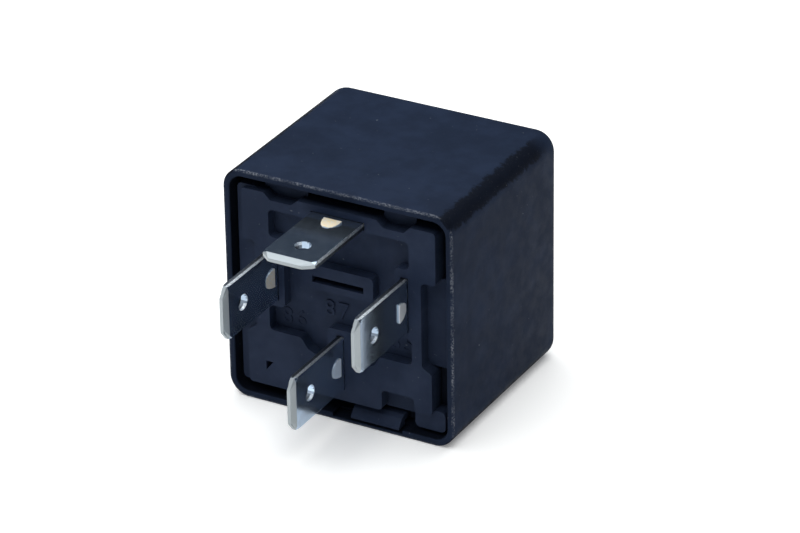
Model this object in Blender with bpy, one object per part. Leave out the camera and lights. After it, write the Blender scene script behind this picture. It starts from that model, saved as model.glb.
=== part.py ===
"""Plug in relay with four flat blades: clip-on cover, moulded base, coil, yoke, hinged armature, contacts.

The relay lies on one side of its cover. X runs across, the blades point along -Y, the closed end of the
cover faces +Y, and +Z is up. Depths run from the cover's rim towards its closed end.
"""

import math

import bmesh
import bpy
from mathutils import Vector

MM = 0.001

# Cover
BODY_WIDTH = 28.0 * MM
BODY_HEIGHT = 27.8 * MM
BODY_DEPTH = 24.6 * MM
WALL = 0.8 * MM
SIDE_EDGE_RADIUS = 2.4 * MM
END_EDGE_RADIUS = 1.6 * MM
INNER_END_RADIUS = 0.6 * MM
RIM_CHAMFER = 0.25 * MM
LATCH_NOTCH = {"x": (-1.0 * MM, 7.7 * MM), "depth": 1.8 * MM, "skin": 0.4 * MM}

# Blades
BLADE_REACH = 10.8 * MM
BLADE_WIDTH = 6.3 * MM
BLADE_THICKNESS = 0.8 * MM
TIP_BEVEL = 0.9 * MM
TIP_CORNER = 1.1 * MM
TIP_CORNER_BEVEL = 0.45 * MM
TIP_EDGE = 0.4 * MM
EDGE_BREAK = 0.04 * MM
BLADE_HOLE_RADIUS = 0.92 * MM
BLADE_HOLE_DEPTH = -7.0 * MM
LANCE_TO_TIP = (-0.6 * MM, -1.8 * MM)
LANCE_TO_BASE = (-1.75 * MM, 1.8 * MM)
LANCE_HALF_WIDTH = 1.1 * MM
LANCE_RISE = 0.2 * MM
LANCE_ROOT = 0.2 * MM
SIDE_BLADE_X = 8.0 * MM
SIDE_BLADE_HEIGHT = 16.1 * MM
LOWER_BLADE_HEIGHT = 7.1 * MM
UPPER_BLADE_HEIGHT = 24.3 * MM

# Base plate
FIT_GAP = 0.3 * MM
PLATFORM_DEPTH = 0.3 * MM
POCKET_DEPTH = 1.6 * MM
LEDGE_DEPTH = 1.8 * MM
SIDE_RAIL = (-12.7 * MM, -10.1 * MM, 1.9 * MM, 25.8 * MM)
LOW_LEDGE = (8.8 * MM, 12.5 * MM, 1.3 * MM, 3.8 * MM)
HIGH_LEDGE_DEPTH = 0.9 * MM
MOAT_DEPTH = 2.6 * MM
BASE_BACK = 4.6 * MM
SLOT_SIDE_GAP = 0.06 * MM
SLOT_END_GAP = 0.12 * MM
OVERLAP = 0.4 * MM
ISLAND = (-4.5 * MM, 4.2 * MM, 15.4 * MM, 18.3 * MM)
BLANK_SLOT = (-3.3 * MM, 3.0 * MM, 16.2 * MM, 16.95 * MM)
BLANK_SLOT_DEPTH = 3.4 * MM
DENT = (-9.4 * MM, -8.5 * MM, 3.9 * MM, 5.0 * MM)
TONGUE_X = (1.2 * MM, 7.15 * MM)

# Coil, core and yoke
YOKE_THICKNESS = 1.6 * MM
YOKE_HALF_WIDTH = 6.5 * MM
YOKE_FOOT_DEPTH = 6.0 * MM
YOKE_END_DEPTH = 18.7 * MM
YOKE_HEIGHT = 3.0 * MM
YOKE_FOOT_TOP = 17.6 * MM
COIL_HEIGHT = 13.0 * MM
CORE_RADIUS = 3.2 * MM
CORE_STAKE_RADIUS = 2.4 * MM
POLE_RADIUS = 4.6 * MM
POLE_DEPTH = 17.3 * MM
POLE_FACE_DEPTH = 18.65 * MM
BOBBIN_START = 7.8 * MM
BOBBIN_END = 17.1 * MM
FLANGE_THICKNESS = 1.0 * MM
FLANGE_HALF_WIDTH = 6.9 * MM
FLANGE_SQUARENESS = 3.6
BARREL_RADIUS = 4.1 * MM
WINDING_RADIUS = 6.3 * MM
WINDING_EDGE = 0.3 * MM
RUNNING_GAP = 0.12 * MM

# Armature, spring and contacts
OPEN_ANGLE = math.radians(3.2)
HINGE_DEPTH = YOKE_END_DEPTH + 0.1 * MM
HINGE_HEIGHT = YOKE_HEIGHT
ARMATURE_THICKNESS = 1.4 * MM
ARMATURE_TOP = 19.3 * MM
HEEL_CHAMFER = 1.0 * MM
SPRING_THICKNESS = 0.25 * MM
SEAT = 0.06 * MM
CONTACT_HEIGHT = 21.6 * MM
CONTACT_RADIUS = 1.6 * MM
CONTACT_HEAD = 0.85 * MM
CONTACT_CROWN = 0.2 * MM
CONTACT_SHANK_RADIUS = 0.75 * MM
CONTACT_TAIL_RADIUS = 1.15 * MM
CONTACT_TAIL = 0.4 * MM
RIVET_RADIUS = 0.6 * MM
RIVET_HEAD_RADIUS = 1.15 * MM
RIVET_HEAD = 0.45 * MM
TERMINAL_RIVET_X = 3.3 * MM
TERMINAL_RIVET_RADIUS = 0.7 * MM
TERMINAL_RIVET_HEAD_RADIUS = 1.3 * MM
TERMINAL_RIVET_HEAD = 0.7 * MM
YOKE_RIVET_X = 3.4 * MM
YOKE_RIVET_DEPTH = 12.0 * MM
ARMATURE_RIVET_X = 3.0 * MM
ARMATURE_RIVET_HEIGHT = 8.6 * MM
ARMATURE_HALF_WIDTH = 6.3 * MM
ARMATURE_END_HALF_WIDTH = 4.6 * MM
ARM_THICKNESS = 0.8 * MM
ARM_HALF_WIDTH = 2.2 * MM
STOP_THICKNESS = 0.6 * MM
STOP_HALF_WIDTH = 2.0 * MM
STOP_HEIGHT = 25.5 * MM
STOP_START = 3.5 * MM
STOP_LOW_END = 20.6 * MM
TAG_HALF_WIDTH = 0.8 * MM
TAG_HALF_THICKNESS = 0.3 * MM
WIRE_RADIUS = 0.14 * MM
WIRE_TURN = (0.66 * MM, 1.22 * MM)

RIM_Y = BLADE_REACH - (BLADE_REACH + BODY_DEPTH) / 2
ORIGIN = Vector((0.0, RIM_Y, 0.0))
HINGE = Vector((0.0, HINGE_DEPTH, HINGE_HEIGHT))
ACROSS = Vector((1.0, 0.0, 0.0))
DEEPER = Vector((0.0, 1.0, 0.0))
UP = Vector((0.0, 0.0, 1.0))

FINISHES = {
    "cover_plastic": ((0.016, 0.018, 0.028), 0.55, 0.0),
    "base_plastic": ((0.020, 0.022, 0.030), 0.5, 0.0),
    "blade_tin": ((0.62, 0.65, 0.66), 0.28, 1.0),
    "contact_silver": ((0.78, 0.77, 0.74), 0.25, 1.0),
    "plated_steel": ((0.55, 0.55, 0.52), 0.35, 1.0),
    "spring_bronze": ((0.72, 0.45, 0.25), 0.3, 1.0),
    "bobbin_nylon": ((0.62, 0.60, 0.54), 0.5, 0.0),
    "enamelled_wire": ((0.42, 0.13, 0.05), 0.35, 0.6),
    "rivet_steel": ((0.50, 0.50, 0.50), 0.35, 1.0),
}


def clear_scene():
    for old in list(bpy.data.objects):
        bpy.data.objects.remove(old, do_unlink=True)


def finish_material(name):
    """A material for one finish, made once and shared by the pieces that have it."""
    material = bpy.data.materials.get(name) or bpy.data.materials.new(name)
    colour, roughness, metallic = FINISHES[name]
    material.use_nodes = True
    shader = material.node_tree.nodes["Principled BSDF"]
    shader.inputs["Base Color"].default_value = (*colour, 1.0)
    shader.inputs["Roughness"].default_value = roughness
    shader.inputs["Metallic"].default_value = metallic
    return material


def mesh_from_lofts(name, lofts):
    """One mesh from skins stretched over rings of points; each loft is closed by flat ends or on itself."""
    mesh = bpy.data.meshes.new(name)
    bm = bmesh.new()
    for rings, is_loop in lofts:
        loops = [[bm.verts.new(point) for point in ring] for ring in rings]
        count = len(loops[0])
        pairs = list(zip(loops, loops[1:]))
        if is_loop:
            pairs.append((loops[-1], loops[0]))
        else:
            bm.faces.new(list(reversed(loops[0])))
            bm.faces.new(loops[-1])
        for near, far in pairs:
            for index in range(count):
                following = (index + 1) % count
                bm.faces.new((near[index], near[following], far[following], far[index]))
    bmesh.ops.recalc_face_normals(bm, faces=bm.faces)
    bm.to_mesh(mesh)
    bm.free()
    return mesh


def add_object(name, mesh, finish=None):
    thing = bpy.data.objects.new(name, mesh)
    bpy.context.scene.collection.objects.link(thing)
    thing.location = ORIGIN
    if finish:
        mesh.materials.append(finish_material(finish))
    return thing


def add_piece(name, lofts, finish, is_round=False):
    piece = add_object(name, mesh_from_lofts(name, lofts), finish)
    if is_round:
        piece.data.shade_smooth()
        piece.data.set_sharp_from_angle(angle=math.radians(35))
    return piece


def combine(piece, lofts, operation):
    """Add or remove shapes with a Boolean; the shapes stay in the scene as a hidden guide."""
    guide_name = f"{piece.name}_{operation.lower()}_{len(piece.modifiers)}"
    guide = add_object(guide_name, mesh_from_lofts(guide_name, lofts))
    guide.location = piece.location
    guide.rotation_euler = piece.rotation_euler
    guide.parent = piece.parent
    guide.hide_render = True
    guide.display_type = "WIRE"
    boolean = piece.modifiers.new(operation.lower(), "BOOLEAN")
    boolean.operation = operation
    boolean.solver = "EXACT"
    boolean.object = guide


def fillet(points, radius, steps, is_closed=True):
    """An outline or path with each corner turned into an arc, smaller where its sides are short."""
    result = []
    last = len(points) - 1
    for index, point in enumerate(points):
        corner = Vector(point)
        if not is_closed and index in (0, last):
            result.append(corner)
            continue
        before = Vector(points[index - 1]) - corner
        after = Vector(points[(index + 1) % len(points)]) - corner
        half_angle = before.angle(after) / 2
        setback = min(radius / math.tan(half_angle), 0.45 * before.length, 0.45 * after.length)
        reach = setback / math.cos(half_angle)
        centre = corner + (before.normalized() + after.normalized()).normalized() * reach
        spoke = corner + before.normalized() * setback - centre
        end = corner + after.normalized() * setback - centre
        turn = math.atan2(spoke.x * end.y - spoke.y * end.x, spoke.dot(end))
        for step in range(steps + 1):
            angle = turn * step / steps
            cosine, sine = math.cos(angle), math.sin(angle)
            swept = Vector((spoke.x * cosine - spoke.y * sine, spoke.x * sine + spoke.y * cosine))
            result.append(centre + swept)
    return result


def in_millimetres(points):
    return [(across * MM, height * MM) for across, height in points]


def rectangle(low_x, high_x, low_z, high_z):
    return [(low_x, low_z), (high_x, low_z), (high_x, high_z), (low_x, high_z)]


def face_ring(outline, depth):
    """The points of an outline in X and Z, set at one depth."""
    return [Vector((point[0], depth, point[1])) for point in outline]


def prism(outline, near, far):
    return [face_ring(outline, near), face_ring(outline, far)], False


def side_prism(outline, half_width):
    """A block whose outline is given in depth and height, and which spans both ways from the middle."""
    left = [Vector((-half_width, point[0], point[1])) for point in outline]
    right = [Vector((half_width, point[0], point[1])) for point in outline]
    return [left, right], False


def circle(centre, axis, radius, sides):
    spoke = ACROSS if abs(axis.x) < 0.5 else UP
    other = axis.cross(spoke)
    angles = [2 * math.pi * index / sides for index in range(sides)]
    return [centre + radius * (math.cos(angle) * spoke + math.sin(angle) * other) for angle in angles]


def turned(profile, start, axis, sides=20, is_loop=False):
    """A turned solid: each profile point is a radius and a distance along the axis."""
    return [circle(start + axis * along, axis, radius, sides) for radius, along in profile], is_loop


def drill(centre, axis, radius, length, sides=16):
    return turned([(radius, -length / 2), (radius, length / 2)], centre, axis, sides)


def strip_section(half_width, half_thickness, edge_break):
    """One section of a strip, with square or chamfered edges."""
    if edge_break is None:
        corners = [(half_width, half_thickness), (-half_width, half_thickness)]
        return corners + [(-across, -deep) for across, deep in corners]
    inner = half_width - edge_break[0]
    thin = half_thickness - edge_break[1]
    corners = [(half_width, thin), (inner, half_thickness), (-inner, half_thickness), (-half_width, thin)]
    return corners + [(-across, -deep) for across, deep in corners]


def strip(path, half_widths, half_thicknesses, width_axis, edge_breaks=None):
    """A flat strip that follows a path; its width stays along one axis."""
    rings = []
    last = len(path) - 1
    breaks = edge_breaks or [None] * len(path)
    for index, centre in enumerate(path):
        tangent = (path[min(index + 1, last)] - path[max(index - 1, 0)]).normalized()
        normal = tangent.cross(width_axis)
        section = strip_section(half_widths[index], half_thicknesses[index], breaks[index])
        rings.append([centre + width_axis * across + normal * deep for across, deep in section])
    return rings, False


def cover_ring(inset, depth):
    """The cover's outline at one depth, moved in from its outer faces."""
    outline = rectangle(-BODY_WIDTH / 2 + inset, BODY_WIDTH / 2 - inset, inset, BODY_HEIGHT - inset)
    radius = max(SIDE_EDGE_RADIUS - inset, 0.7 * MM)
    return face_ring(fillet(outline, radius, 6), depth)


def make_cover():
    steps = 5
    rings = []
    for step in range(steps + 1):
        angle = math.pi / 2 * step / steps
        inset = END_EDGE_RADIUS * (1 - math.sin(angle))
        rings.append(cover_ring(inset, BODY_DEPTH - END_EDGE_RADIUS * (1 - math.cos(angle))))
    rings.append(cover_ring(0.0, RIM_CHAMFER))
    rings.append(cover_ring(RIM_CHAMFER, 0.0))
    rings.append(cover_ring(WALL, 0.0))
    inner_end = BODY_DEPTH - WALL
    rings.append(cover_ring(WALL, inner_end - INNER_END_RADIUS))
    rings.append(cover_ring(WALL + INNER_END_RADIUS, inner_end))
    cover = add_piece("cover", [(rings, False)], "cover_plastic", is_round=True)
    low_x, high_x = LATCH_NOTCH["x"]
    notch = rectangle(low_x, high_x, LATCH_NOTCH["skin"], WALL + OVERLAP)
    combine(cover, [prism(notch, -OVERLAP, LATCH_NOTCH["depth"])], "DIFFERENCE")


def platform_outline():
    """The raised face of the base, in X and Z, with the notches round its edge."""
    points = [
        (-11.9, 25.6), (-9.1, 25.6), (-8.3, 24.8), (-5.7, 24.8), (-4.9, 25.5), (4.7, 25.5),
        (5.6, 24.7), (8.0, 24.7), (8.8, 25.5), (11.8, 25.5), (11.8, 19.2), (10.0, 19.2),
        (10.0, 9.1), (11.2, 8.4), (11.2, 3.4), (9.0, 3.4), (9.0, 5.0), (5.0, 5.0),
        (5.0, 2.5), (-6.0, 2.5), (-6.6, 2.0), (-11.6, 2.0), (-11.6, 8.4), (-10.4, 9.2),
        (-10.4, 19.5), (-11.9, 19.5),
    ]
    return fillet(in_millimetres(points), 0.4 * MM, 2)


def pocket_outline():
    """The sunk area between the blades: one half of its outline, and the same mirrored."""
    half = [
        (8.6, 23.7), (8.6, 20.4), (6.8, 20.4), (6.8, 12.1), (8.8, 12.1), (8.8, 9.0),
        (4.9, 9.0), (4.1, 7.8), (3.2, 7.4), (1.6, 7.4), (1.6, 11.1),
    ]
    mirrored = [(-across, height) for across, height in reversed(half)]
    return fillet(in_millimetres(half + mirrored), 0.5 * MM, 2)


def base_ledges():
    """Steps beside the raised face: those in its notches, and two higher ones, a side rail and a corner."""
    boxes = [(-9.7, -4.4, 24.5, 26.3), (4.9, 8.8, 24.4, 26.3), (9.7, 12.5, 8.8, 19.5)]
    boxes.append((4.8, 9.2, 2.4, 5.3))
    outlines = [rectangle(*[value * MM for value in box]) for box in boxes]
    low = [prism(outline, LEDGE_DEPTH, MOAT_DEPTH + OVERLAP) for outline in outlines]
    raised = [fillet(rectangle(*sides), 0.5 * MM, 2) for sides in (SIDE_RAIL, LOW_LEDGE)]
    high = [prism(outline, HIGH_LEDGE_DEPTH, MOAT_DEPTH + OVERLAP) for outline in raised]
    return low, high


def latch_tongue():
    """The latch tongue under the base: a ramp facing up and forward, its lip in the cover's notch."""
    outline = in_millimetres([
        (0.15, 0.9), (0.15, 0.65), (1.5, 0.65), (1.5, 1.3), (2.9, 1.3), (2.9, 2.0), (1.4, 2.0), (0.9, 1.7),
    ])
    return [[Vector((x, depth, height)) for depth, height in outline] for x in TONGUE_X], False


def blade_slots():
    """Through slots for the four blades, with a little room round each."""
    long_side = BLADE_WIDTH / 2 + SLOT_END_GAP
    short_side = BLADE_THICKNESS / 2 + SLOT_SIDE_GAP
    places = [(x, SIDE_BLADE_HEIGHT, short_side, long_side) for x in (-SIDE_BLADE_X, SIDE_BLADE_X)]
    places.append((0.0, LOWER_BLADE_HEIGHT, short_side, long_side))
    places.append((0.0, UPPER_BLADE_HEIGHT, long_side, short_side))
    slots = []
    for x, z, half_x, half_z in places:
        outline = rectangle(x - half_x, x + half_x, z - half_z, z + half_z)
        slots.append(prism(outline, -OVERLAP, BASE_BACK + OVERLAP))
    return slots


def make_base_plate():
    edge = WALL + FIT_GAP
    flange = rectangle(-BODY_WIDTH / 2 + edge, BODY_WIDTH / 2 - edge, edge, BODY_HEIGHT - edge)
    plate = prism(fillet(flange, SIDE_EDGE_RADIUS - edge, 4), MOAT_DEPTH, BASE_BACK)
    base = add_piece("base_plate", [plate], "base_plastic")
    combine(base, [prism(platform_outline(), PLATFORM_DEPTH, MOAT_DEPTH + OVERLAP)], "UNION")
    low_ledges, high_ledges = base_ledges()
    combine(base, low_ledges, "UNION")
    combine(base, high_ledges, "UNION")
    combine(base, [latch_tongue()], "UNION")
    combine(base, [prism(pocket_outline(), -OVERLAP, POCKET_DEPTH)], "DIFFERENCE")
    island = fillet(rectangle(*ISLAND), 0.5 * MM, 2)
    combine(base, [prism(island, PLATFORM_DEPTH, POCKET_DEPTH + OVERLAP)], "UNION")
    combine(base, blade_slots(), "DIFFERENCE")
    blank_slot = prism(rectangle(*BLANK_SLOT), -OVERLAP, BLANK_SLOT_DEPTH)
    low_x, high_x, low_z, high_z = DENT
    dent = prism([(low_x, low_z), (high_x, high_z), (low_x, high_z)], -OVERLAP, LEDGE_DEPTH)
    stop_half = STOP_THICKNESS / 2 + SLOT_END_GAP
    stop_side = STOP_HALF_WIDTH + 0.2 * MM
    stop_slot = rectangle(-stop_side, stop_side, STOP_HEIGHT - stop_half, STOP_HEIGHT + stop_half)
    rivet_place = Vector((TERMINAL_RIVET_X, BASE_BACK, LOWER_BLADE_HEIGHT))
    recess = drill(rivet_place, DEEPER, TERMINAL_RIVET_HEAD_RADIUS + FIT_GAP, 2 * TERMINAL_RIVET_HEAD)
    stop_hole = prism(stop_slot, STOP_START - 0.2 * MM, BASE_BACK + OVERLAP)
    combine(base, [blank_slot, dent, stop_hole, recess], "DIFFERENCE")


def blade_path(far_depth):
    """Depths, half widths, half thicknesses and edge breaks of a blade, from its bevelled tip inwards."""
    bevel_end = TIP_BEVEL - BLADE_REACH
    depths = [-BLADE_REACH, bevel_end, bevel_end + TIP_CORNER_BEVEL, far_depth]
    half_widths = [BLADE_WIDTH / 2 - TIP_CORNER] + [BLADE_WIDTH / 2] * 3
    half_thicknesses = [TIP_EDGE / 2] + [BLADE_THICKNESS / 2] * 3
    corner_break = (TIP_CORNER_BEVEL, (BLADE_THICKNESS - TIP_EDGE) / 2)
    edge_breaks = [(TIP_CORNER_BEVEL, EDGE_BREAK / 2), corner_break] + [(EDGE_BREAK, EDGE_BREAK)] * 2
    return depths, half_widths, half_thicknesses, edge_breaks


def lance(x, z, face, along, edge_depth, length):
    """A raised D on a blade's face: highest at its straight sheared edge, sloping down to its round end."""
    lower, upper = [], []
    steps = 10
    for step in range(steps + 1):
        angle = math.pi * (step / steps - 0.5)
        away = math.cos(angle)
        middle = Vector((x, edge_depth + length * away, z))
        point = middle + along * LANCE_HALF_WIDTH * math.sin(angle)
        half = BLADE_THICKNESS / 2
        lower.append(point + face * (half - LANCE_ROOT))
        upper.append(point + face * (half + LANCE_RISE * (1.0 - 0.9 * away)))
    return [lower, upper], False


def finish_blade(piece, x, z, face, along, lance_to_tip=True):
    """Add a blade's lance, sloping to the tip or away from it, and its hole."""
    edge_depth, length = LANCE_TO_TIP if lance_to_tip else LANCE_TO_BASE
    hole = drill(Vector((x, BLADE_HOLE_DEPTH, z)), face, BLADE_HOLE_RADIUS, 3 * BLADE_THICKNESS, 20)
    combine(piece, [lance(x, z, face, along, edge_depth, length)], "UNION")
    combine(piece, [hole], "DIFFERENCE")


def make_side_terminal(name, x):
    """A coil terminal: a blade on edge, with a narrow tag inside for the coil's lead."""
    depths, widths, thicknesses, breaks = blade_path(6.4 * MM)
    path = [Vector((x, depth, SIDE_BLADE_HEIGHT)) for depth in depths + [7.2 * MM, 10.9 * MM]]
    widths += [TAG_HALF_WIDTH] * 2
    thicknesses += [TAG_HALF_THICKNESS] * 2
    breaks += [(EDGE_BREAK, EDGE_BREAK)] * 2
    piece = add_piece(name, [strip(path, widths, thicknesses, UP, breaks)], "blade_tin")
    finish_blade(piece, x, SIDE_BLADE_HEIGHT, ACROSS, UP, lance_to_tip=x < 0)


def make_terminal_30():
    """The common terminal: its inner end turns flat against the yoke's foot."""
    depths, widths, thicknesses, breaks = blade_path(0.0)
    turn_depth = YOKE_FOOT_DEPTH - FIT_GAP - BLADE_THICKNESS / 2
    bend = fillet([(0.0, 0.0), (0.0, turn_depth), (5.6 * MM, turn_depth)], 0.7 * MM, 4, is_closed=False)[1:]
    path = [Vector((0.0, depth, LOWER_BLADE_HEIGHT)) for depth in depths]
    path += [Vector((point[0], point[1], LOWER_BLADE_HEIGHT)) for point in bend]
    widths += [BLADE_WIDTH / 2] * len(bend)
    thicknesses += [BLADE_THICKNESS / 2] * len(bend)
    breaks += [(EDGE_BREAK, EDGE_BREAK)] * len(bend)
    piece = add_piece("terminal_30", [strip(path, widths, thicknesses, UP, breaks)], "blade_tin")
    finish_blade(piece, 0.0, LOWER_BLADE_HEIGHT, ACROSS, UP)
    rivet_place = Vector((TERMINAL_RIVET_X, turn_depth, LOWER_BLADE_HEIGHT))
    rivet_hole = drill(rivet_place, DEEPER, TERMINAL_RIVET_RADIUS + RUNNING_GAP, 3 * BLADE_THICKNESS)
    combine(piece, [rivet_hole], "DIFFERENCE")
    make_terminal_rivet(turn_depth - BLADE_THICKNESS / 2 - SEAT)


def make_terminal_rivet(seat):
    end = YOKE_FOOT_DEPTH + YOKE_THICKNESS - RUNNING_GAP
    profile = [(TERMINAL_RIVET_HEAD_RADIUS, seat - TERMINAL_RIVET_HEAD), (TERMINAL_RIVET_HEAD_RADIUS, seat)]
    profile += [(TERMINAL_RIVET_RADIUS, seat), (TERMINAL_RIVET_RADIUS, end)]
    start = Vector((TERMINAL_RIVET_X, 0.0, LOWER_BLADE_HEIGHT))
    add_piece("terminal_rivet", [turned(profile, start, DEEPER)], "rivet_steel", is_round=True)


def fixed_contact_depth():
    """Depth of the fixed contact's face: just clear of the moving contact when the armature is down."""
    spring_face = HINGE_DEPTH + ARMATURE_THICKNESS + SEAT
    return spring_face - SEAT - CONTACT_HEAD - SEAT


def make_terminal_87():
    """The switched terminal: a blade whose arm runs along the coil and turns in under the moving contact."""
    face = fixed_contact_depth()
    turn_depth = face - CONTACT_HEAD - SEAT - ARM_THICKNESS / 2
    depths, widths, thicknesses, breaks = blade_path(5.0 * MM)
    low_end = CONTACT_HEIGHT - CONTACT_RADIUS - 0.1 * MM
    corners = [(6.2 * MM, UPPER_BLADE_HEIGHT), (turn_depth, UPPER_BLADE_HEIGHT), (turn_depth, low_end)]
    arm = fillet(corners, 0.8 * MM, 4, is_closed=False)
    path = [Vector((0.0, depth, UPPER_BLADE_HEIGHT)) for depth in depths]
    path += [Vector((0.0, point[0], point[1])) for point in arm]
    widths += [ARM_HALF_WIDTH] * len(arm)
    thicknesses += [ARM_THICKNESS / 2] * len(arm)
    breaks += [(EDGE_BREAK, EDGE_BREAK)] * len(arm)
    piece = add_piece("terminal_87", [strip(path, widths, thicknesses, ACROSS, breaks)], "blade_tin")
    finish_blade(piece, 0.0, UPPER_BLADE_HEIGHT, UP, ACROSS)
    eye = Vector((0.0, turn_depth, CONTACT_HEIGHT))
    hole = drill(eye, DEEPER, CONTACT_SHANK_RADIUS + RUNNING_GAP, 3 * ARM_THICKNESS)
    combine(piece, [hole], "DIFFERENCE")
    make_fixed_contact(face, turn_depth - ARM_THICKNESS / 2 - SEAT)


def make_fixed_contact(face, back):
    profile = [(CONTACT_TAIL_RADIUS, back - CONTACT_TAIL), (CONTACT_TAIL_RADIUS, back)]
    profile += [(CONTACT_SHANK_RADIUS, back), (CONTACT_SHANK_RADIUS, face - CONTACT_HEAD)]
    profile += [(CONTACT_RADIUS, face - CONTACT_HEAD), (CONTACT_RADIUS, face - CONTACT_CROWN)]
    profile += [(CONTACT_RADIUS - CONTACT_CROWN, face)]
    start = Vector((0.0, 0.0, CONTACT_HEIGHT))
    add_piece("fixed_contact", [turned(profile, start, DEEPER)], "contact_silver", is_round=True)


def make_rest_stop():
    """The back stop: an arm over the armature's free end that the moving contact rests against."""
    swing = (CONTACT_HEIGHT - HINGE_HEIGHT) * math.sin(OPEN_ANGLE)
    tail = HINGE_DEPTH + ARMATURE_THICKNESS + SEAT + SPRING_THICKNESS + SEAT + CONTACT_TAIL
    turn_depth = tail + swing + SEAT + STOP_THICKNESS / 2
    corners = [(STOP_START, STOP_HEIGHT), (turn_depth, STOP_HEIGHT), (turn_depth, STOP_LOW_END)]
    arm = fillet(corners, 0.7 * MM, 4, is_closed=False)
    path = [Vector((0.0, point[0], point[1])) for point in arm]
    shape = strip(path, [STOP_HALF_WIDTH] * len(path), [STOP_THICKNESS / 2] * len(path), ACROSS)
    add_piece("rest_stop", [shape], "plated_steel")


def make_yoke():
    """The L-shaped iron yoke: a foot under the coil, and a leg along it that ends at the hinge."""
    inner = YOKE_HEIGHT + YOKE_THICKNESS
    foot_back = YOKE_FOOT_DEPTH + YOKE_THICKNESS
    outline = [
        (YOKE_END_DEPTH, YOKE_HEIGHT), (YOKE_END_DEPTH, inner), (foot_back + 0.6 * MM, inner),
        (foot_back, inner + 0.6 * MM), (foot_back, YOKE_FOOT_TOP), (YOKE_FOOT_DEPTH, YOKE_FOOT_TOP),
    ]
    bend = fillet([outline[-1], (YOKE_FOOT_DEPTH, YOKE_HEIGHT), outline[0]], 1.8 * MM, 5, is_closed=False)
    yoke = add_piece("yoke", [side_prism(outline[:-1] + bend[:-1], YOKE_HALF_WIDTH)], "plated_steel")
    through = 3 * YOKE_THICKNESS
    stake = Vector((0.0, YOKE_FOOT_DEPTH, COIL_HEIGHT))
    terminal_rivet = Vector((TERMINAL_RIVET_X, YOKE_FOOT_DEPTH, LOWER_BLADE_HEIGHT))
    holes = [drill(stake, DEEPER, CORE_STAKE_RADIUS + RUNNING_GAP, through, 20)]
    holes.append(drill(terminal_rivet, DEEPER, TERMINAL_RIVET_RADIUS + RUNNING_GAP, through))
    for side in (-1, 1):
        place = Vector((side * YOKE_RIVET_X, YOKE_RIVET_DEPTH, YOKE_HEIGHT))
        holes.append(drill(place, UP, RIVET_RADIUS + RUNNING_GAP, through, 12))
    combine(yoke, holes, "DIFFERENCE")


def make_core():
    """The coil's iron core, staked into the yoke's foot, with a wide pole face at the armature's end."""
    foot_back = YOKE_FOOT_DEPTH + YOKE_THICKNESS + SEAT
    profile = [(CORE_STAKE_RADIUS, YOKE_FOOT_DEPTH - 0.2 * MM), (CORE_STAKE_RADIUS, foot_back)]
    profile += [(CORE_RADIUS, foot_back), (CORE_RADIUS, POLE_DEPTH), (POLE_RADIUS, POLE_DEPTH)]
    profile += [(POLE_RADIUS, POLE_FACE_DEPTH - 0.15 * MM), (POLE_RADIUS - 0.15 * MM, POLE_FACE_DEPTH)]
    start = Vector((0.0, 0.0, COIL_HEIGHT))
    add_piece("core", [turned(profile, start, DEEPER, 28)], "plated_steel", is_round=True)


def soft_square(depth, half_width, sides):
    """A ring between a circle and a square, for the bobbin's flanges."""
    ring = []
    power = FLANGE_SQUARENESS
    for index in range(sides):
        angle = 2 * math.pi * index / sides
        cosine, sine = math.cos(angle), math.sin(angle)
        reach = half_width * (abs(cosine) ** power + abs(sine) ** power) ** (-1 / power)
        ring.append(Vector((reach * cosine, depth, COIL_HEIGHT - reach * sine)))
    return ring


def make_bobbin():
    sides = 32
    bore = CORE_RADIUS + RUNNING_GAP
    centre = Vector((0.0, 0.0, COIL_HEIGHT))
    first = BOBBIN_START + FLANGE_THICKNESS
    second = BOBBIN_END - FLANGE_THICKNESS
    rings = [circle(centre + DEEPER * BOBBIN_START, DEEPER, bore, sides)]
    rings += [soft_square(depth, FLANGE_HALF_WIDTH, sides) for depth in (BOBBIN_START, first)]
    rings += [circle(centre + DEEPER * depth, DEEPER, BARREL_RADIUS, sides) for depth in (first, second)]
    rings += [soft_square(depth, FLANGE_HALF_WIDTH, sides) for depth in (second, BOBBIN_END)]
    rings += [circle(centre + DEEPER * BOBBIN_END, DEEPER, bore, sides)]
    add_piece("bobbin", [(rings, True)], "bobbin_nylon", is_round=True)


def make_winding():
    inner = BARREL_RADIUS + SEAT
    start = BOBBIN_START + FLANGE_THICKNESS + SEAT
    end = BOBBIN_END - FLANGE_THICKNESS - SEAT
    shoulder = WINDING_RADIUS - WINDING_EDGE
    profile = [(inner, start), (shoulder, start), (WINDING_RADIUS, start + WINDING_EDGE)]
    profile += [(WINDING_RADIUS, end - WINDING_EDGE), (shoulder, end), (inner, end)]
    centre = Vector((0.0, 0.0, COIL_HEIGHT))
    winding = turned(profile, centre, DEEPER, 32, is_loop=True)
    add_piece("coil_winding", [winding], "enamelled_wire", is_round=True)


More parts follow.
